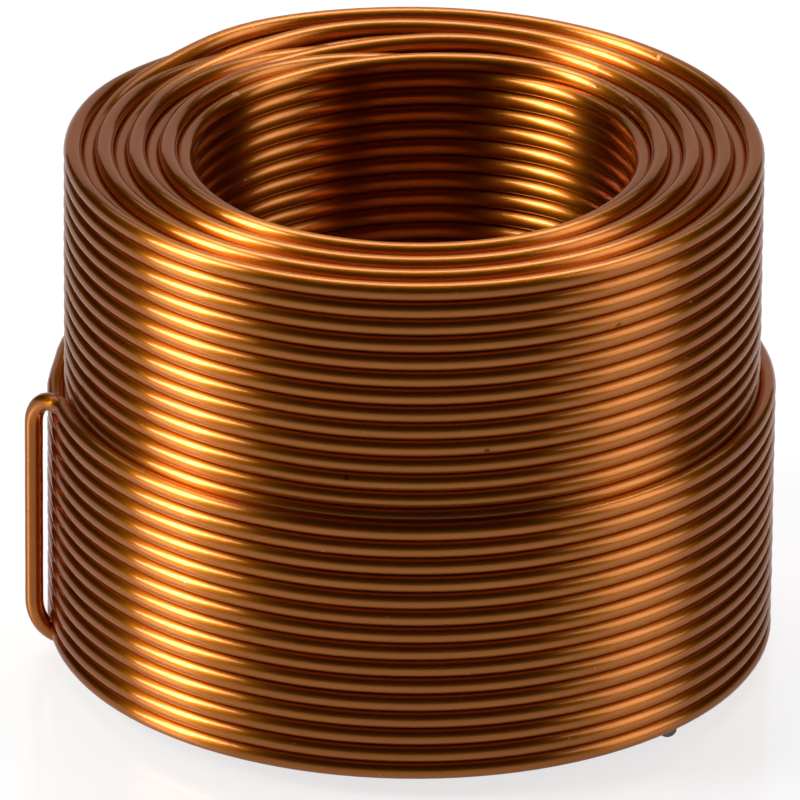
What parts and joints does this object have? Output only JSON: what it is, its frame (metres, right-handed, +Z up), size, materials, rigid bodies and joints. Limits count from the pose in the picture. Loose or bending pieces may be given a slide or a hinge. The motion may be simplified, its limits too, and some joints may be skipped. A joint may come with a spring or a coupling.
{
  "type": "air core inductor",
  "caption": "Air core inductor: enamelled copper wire wound in nested layers round an open bore, with both ends bent in under the winding.",
  "frame": {"origin": "on the coil axis, in the plane that the underside of the two leads lies in", "axes": "+Z up along the coil axis, -Y towards the front, +X to the right; the finish lead stands on the -X side"},
  "size_m": [0.0427, 0.0414, 0.0312],
  "materials": {
    "enamelled_copper": "copper wire under clear amber enamel, satin to glossy",
    "solder": "dull grey solder left by dipping"
  },
  "bodies": {
    "root": {"winding": "enamelled_copper", "start_tinning": "solder", "finish_tinning": "solder"}
  },
  "joints": []
}
